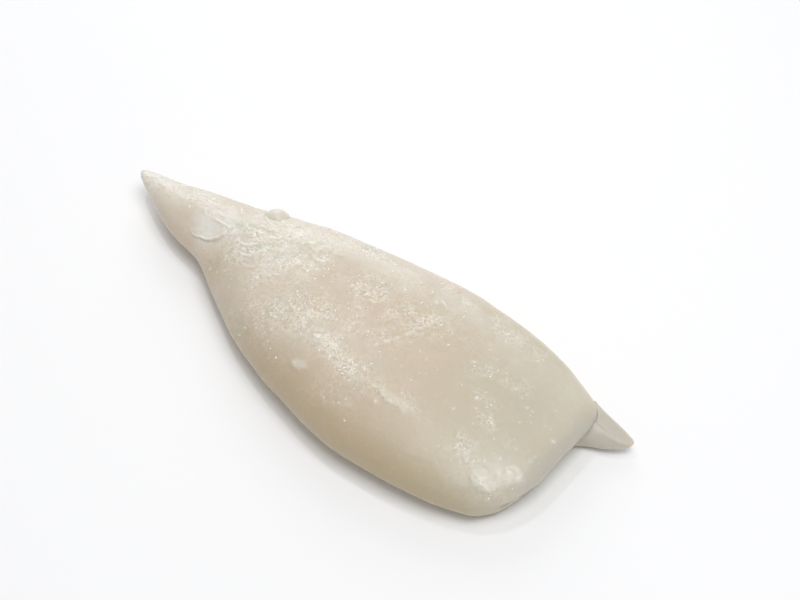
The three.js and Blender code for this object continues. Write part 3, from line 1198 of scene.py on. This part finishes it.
@dataclass
class FrostGrains:
    """Frost that has grown on the skin: grains of one kind, scattered where the flesh carries frost."""

    kind: Grain
    spacing: float
    per_cm2: float
    smallest: float
    largest: float
    flatness: float
    bare_below: float
    seed: int
    variants: int = 4
    least_stretch: tuple[float, float, float] = (0.6, 0.6, 0.6)
    most_stretch: tuple[float, float, float] = (1.3, 1.3, 1.2)
    speck_dent: float = 1.5
    thread_dent: float = 0.5
    thread_thickness: float = 0.22
    thread_ends: float = 0.05
    piece: bpy.types.Object = field(init=False)

    def build(self, mantle: Mantle, frost: bpy.types.Material) -> None:
        """Scatters the grains with Geometry Nodes and turns them into a plain mesh.

        Args:
            mantle: The flesh that they grow on, with its mask of frost.
            frost: Their finish.
        """
        name = f"frost_{self.kind.value}s"
        self.piece = make_object(name, mantle.body.data.copy(), None)
        tree = bpy.data.node_groups.new(name, "GeometryNodeTree")
        values = self._name_inputs(tree) | {"Finish": frost}
        self._fill(tree)
        modifier = self.piece.modifiers.new(name, "NODES")
        modifier.node_group = tree
        for socket in tree.interface.items_tree:
            if socket.name in values:
                modifier[socket.identifier] = values[socket.name]
        settle(self.piece)
        # The bare skin that the grains were scattered on leaves an empty slot in front of their own finish.
        self.piece.data.materials.pop(index=0)

    def dress(self) -> None:
        """Gives the grains to the frame."""
        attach(self.piece, "root")
        log.info("%s: %d faces", self.piece.name, len(self.piece.data.polygons))

    def _name_inputs(self, tree: bpy.types.NodeTree) -> dict[str, float]:
        """Names the tree's inputs and its output.

        Args:
            tree: The empty tree.

        Returns:
            The value of each size input, in metres, by the input's name.
        """
        tree.interface.new_socket("Geometry", in_out="INPUT", socket_type="NodeSocketGeometry")
        tree.interface.new_socket("Geometry", in_out="OUTPUT", socket_type="NodeSocketGeometry")
        tree.interface.new_socket("Finish", in_out="INPUT", socket_type="NodeSocketMaterial")
        values = {
            "Spacing": self.spacing * MM,
            "Density": self.per_cm2 * 1e4,
            "Smallest": self.smallest * MM / 2,
            "Largest": self.largest * MM / 2,
            "Flatness": self.flatness,
        }
        for name in values:
            tree.interface.new_socket(name, in_out="INPUT", socket_type="NodeSocketFloat")
        return values

    def _fill(self, tree: bpy.types.NodeTree) -> None:
        """Adds the nodes that scatter, turn, size and finish the grains.

        Args:
            tree: The tree, with its inputs named.
        """
        given = add_node(tree, "NodeGroupInput").outputs
        frost = add_node(tree, "GeometryNodeInputNamedAttribute", {"Name": "frost"}, data_type="FLOAT")
        thick = {"Value": frost.outputs["Attribute"], "From Min": self.bare_below, "From Max": 1.0}
        spots = {
            "Mesh": given["Geometry"],
            "Distance Min": given["Spacing"],
            "Density Max": given["Density"],
            "Density Factor": add_node(tree, "ShaderNodeMapRange", thick),
            "Seed": self.seed,
        }
        points = add_node(tree, "GeometryNodeDistributePointsOnFaces", spots, distribute_method="POISSON")
        turn = {"Max": (0, 0, 2 * math.pi), "Seed": self.seed + 1}
        turn = add_node(tree, "FunctionNodeRandomValue", turn, data_type="FLOAT_VECTOR")
        turn = {"Rotation": points.outputs["Rotation"], "Rotate By": turn.outputs["Value"]}
        turn = add_node(tree, "FunctionNodeRotateRotation", turn, rotation_space="LOCAL")
        pick = {4: 0, 5: self.variants - 1, "Seed": self.seed + 4}
        pick = add_node(tree, "FunctionNodeRandomValue", pick, data_type="INT")
        placed = {
            "Points": points.outputs["Points"],
            "Instance": self._shapes(tree),
            "Pick Instance": True,
            "Instance Index": pick.outputs[2],
            "Rotation": turn,
            "Scale": self._sizes(tree, given),
        }
        grains = add_node(tree, "GeometryNodeInstanceOnPoints", placed)
        real = add_node(tree, "GeometryNodeRealizeInstances", {"Geometry": grains})
        done = add_node(tree, "GeometryNodeSetMaterial", {"Geometry": real, "Material": given["Finish"]})
        add_node(tree, "NodeGroupOutput", {"Geometry": done})

    def _sizes(self, tree: bpy.types.NodeTree, given: bpy.types.NodeOutputs) -> bpy.types.Node:
        """Gives each grain its size, stretch and flatness.

        Args:
            tree: The tree.
            given: The tree's own inputs.

        Returns:
            The node of each grain's scale.
        """
        size = {2: given["Smallest"], 3: given["Largest"], "Seed": self.seed + 2}
        size = add_node(tree, "FunctionNodeRandomValue", size, data_type="FLOAT")
        stretch = {"Min": self.least_stretch, "Max": self.most_stretch, "Seed": self.seed + 3}
        stretch = add_node(tree, "FunctionNodeRandomValue", stretch, data_type="FLOAT_VECTOR")
        flat = add_node(tree, "ShaderNodeCombineXYZ", {"X": 1.0, "Y": 1.0, "Z": given["Flatness"]})
        shape = {0: stretch.outputs["Value"], 1: flat}
        shape = add_node(tree, "ShaderNodeVectorMath", shape, operation="MULTIPLY")
        return add_node(tree, "ShaderNodeVectorMath", {0: shape, "Scale": size.outputs[1]}, operation="SCALE")

    def _shapes(self, tree: bpy.types.NodeTree) -> bpy.types.Node:
        """Makes the grain shapes, of radius one, each dented by noise in its own way.

        Args:
            tree: The tree.

        Returns:
            The node that holds them as instances, to pick one from for each grain.
        """
        joined = add_node(tree, "GeometryNodeJoinGeometry")
        for number in range(self.variants):
            if self.kind is Grain.SPECK:
                raw = add_node(tree, "GeometryNodeMeshIcoSphere", {"Radius": 1.0, "Subdivisions": 1})
                dent = self.speck_dent
            else:
                raw = self._thread(tree, 1.1 + 0.8 * number)
                dent = self.thread_dent
            where = {"Vector": add_node(tree, "GeometryNodeInputPosition"), "W": 3.7 * number, "Scale": 1.4}
            bend = add_node(tree, "ShaderNodeTexNoise", where, noise_dimensions="4D").outputs["Color"]
            bend = add_node(tree, "ShaderNodeVectorMath", {0: bend, 1: (0.5, 0.5, 0.5)}, operation="SUBTRACT")
            bend = add_node(tree, "ShaderNodeVectorMath", {0: bend, "Scale": dent}, operation="SCALE")
            moved = {"Geometry": raw.outputs["Mesh"], "Offset": bend}
            moved = add_node(tree, "GeometryNodeSetPosition", moved)
            grouped = add_node(tree, "GeometryNodeGeometryToInstance", {"Geometry": moved})
            tree.links.new(grouped.outputs[0], joined.inputs[0])
        return joined

    def _thread(self, tree: bpy.types.NodeTree, sweep: float) -> bpy.types.Node:
        """Makes a bent thread that thins out towards both ends.

        Args:
            tree: The tree.
            sweep: How far round a circle of radius one the thread goes, in radians.

        Returns:
            The node of its mesh.
        """
        arc = {"Resolution": 7, "Radius": 1.0, "Start Angle": 0.0, "Sweep Angle": sweep}
        arc = add_node(tree, "GeometryNodeCurveArc", arc)
        along = add_node(tree, "GeometryNodeSplineParameter").outputs["Factor"]
        along = add_node(tree, "ShaderNodeMath", {0: along, 1: math.pi}, operation="MULTIPLY")
        swell = add_node(tree, "ShaderNodeMath", {0: along}, operation="SINE")
        radius = {0: swell, 1: self.thread_thickness, 2: self.thread_ends}
        section = {"Resolution": 5, "Radius": 1.0}
        tube = {
            "Curve": arc.outputs["Curve"],
            "Profile Curve": add_node(tree, "GeometryNodeCurvePrimitiveCircle", section),
            "Scale": add_node(tree, "ShaderNodeMath", radius, operation="MULTIPLY_ADD"),
            "Fill Caps": True,
        }
        return add_node(tree, "GeometryNodeCurveToMesh", tube)


# --------------------------------------------------------------------------------------------- the studio


@dataclass(frozen=True)
class SoftBox:
    """A square soft light that faces the tube: where it stands, how wide it is, its power and its colour."""

    name: str
    place: tuple[float, float, float]
    size: float
    watts: float
    tint: str = "#fdfdff"

    def build(self) -> None:
        """Puts the light into the scene."""
        data = bpy.data.lights.new(self.name, "AREA")
        data.shape, data.size, data.energy = "SQUARE", self.size * MM, self.watts
        data.color = linear(self.tint)[:3]
        lamp = bpy.data.objects.new(self.name, data)
        lamp.location = Vector(self.place) * MM
        lamp.rotation_euler = (-lamp.location).to_track_quat("-Z", "Y").to_euler()
        bpy.context.scene.collection.objects.link(lamp)


@dataclass
class Studio:
    """The camera, the soft lights and the pale floor.

    The anchor is a place on the tube that the camera's aim is set by: it shows at the anchor's pixel, at the
    given scale. The places and sizes of the lights are millimetres too.
    """

    elevation_deg: float = 50.0
    azimuth_deg: float = 40.5
    lens: float = 70.0
    sensor: float = 36.0
    picture_px: tuple[float, float] = (800.0, 600.0)
    px_per_mm: float = 3.049
    anchor_px: tuple[float, float] = (336.94, 326.88)
    anchor: tuple[float, float, float] = (0.0, 0.0, 8.0)
    nearest_m: float = 0.01
    farthest_m: float = 20.0
    # A wide light over the mouth, one low behind the tail, and a small one for glints on the ice.
    lights: tuple[SoftBox, ...] = (
        SoftBox("key", (233, 0, 869), 550, 3.9),
        SoftBox("low", (-577, 577, 380), 550, 2.2),
        SoftBox("glint", (-250, 120, 700), 50, 0.5, "#ffffff"),
    )
    sky: str = "#f6f7fa"
    sky_strength: float = 0.46
    floor_half: float = 2500.0
    floor_gap: float = 0.1

    def build(self) -> None:
        """Makes the whole studio."""
        bpy.context.scene.view_settings.view_transform = "Standard"
        self._place_camera()
        for light in self.lights:
            light.build()
        self._hang_sky()
        self._lay_floor()

    def _place_camera(self) -> None:
        """Places the camera so that the anchor shows at its pixel and scale."""
        e, a = math.radians(self.elevation_deg), math.radians(self.azimuth_deg)
        back = Vector((math.sin(a) * math.cos(e), -math.cos(a) * math.cos(e), math.sin(e)))
        right = Vector((math.cos(a), math.sin(a), 0))
        up = back.cross(right)
        width, height = self.picture_px
        focal_px = self.lens / self.sensor * width
        distance = focal_px / self.px_per_mm
        dx = (self.anchor_px[0] - width / 2) / focal_px
        dy = (height / 2 - self.anchor_px[1]) / focal_px
        place = Vector(self.anchor) - distance * (-back + dx * right + dy * up)
        data = bpy.data.cameras.new("camera")
        data.lens, data.sensor_width = self.lens, self.sensor
        data.clip_start, data.clip_end = self.nearest_m, self.farthest_m
        camera = bpy.data.objects.new("camera", data)
        turn = Matrix((right, up, back)).transposed().to_4x4()
        camera.matrix_world = Matrix.Translation(place * MM) @ turn
        bpy.context.scene.collection.objects.link(camera)
        bpy.context.scene.camera = camera

    def _hang_sky(self) -> None:
        """Gives the scene an even, pale sky."""
        world = bpy.data.worlds.new("sky")
        bpy.context.scene.world = world
        world.use_nodes = True
        sky = world.node_tree.nodes["Background"]
        sky.inputs["Color"].default_value = linear(self.sky)
        sky.inputs["Strength"].default_value = self.sky_strength

    def _lay_floor(self) -> None:
        """Lays a wide floor of white paper just under the tube."""
        half, level = self.floor_half * MM, -self.floor_gap * MM
        mesh = bpy.data.meshes.new("floor")
        corners = [(-half, -half, level), (half, -half, level), (half, half, level), (-half, half, level)]
        mesh.from_pydata(corners, [], [(0, 1, 2, 3)])
        make_object("floor", mesh, MattPaper().material())


def main() -> None:
    """Builds the studio and every piece of the tube, in order."""
    logging.basicConfig(level=logging.INFO, format="%(name)s: %(message)s")
    Studio().build()
    mantle = Mantle()
    mantle.build()
    mantle.dress()
    frost = HoarFrost().material()
    specks = FrostGrains(
        kind=Grain.SPECK,
        spacing=0.5,
        per_cm2=38.0,
        smallest=0.3,
        largest=0.9,
        flatness=0.06,
        bare_below=0.12,
        seed=5,
    )
    threads = FrostGrains(
        kind=Grain.THREAD,
        spacing=0.8,
        per_cm2=16.0,
        smallest=0.8,
        largest=1.8,
        flatness=0.08,
        bare_below=0.3,
        seed=9,
    )
    for grains in (specks, threads):
        grains.build(mantle, frost)
        grains.dress()


if __name__ == "__main__":
    main()
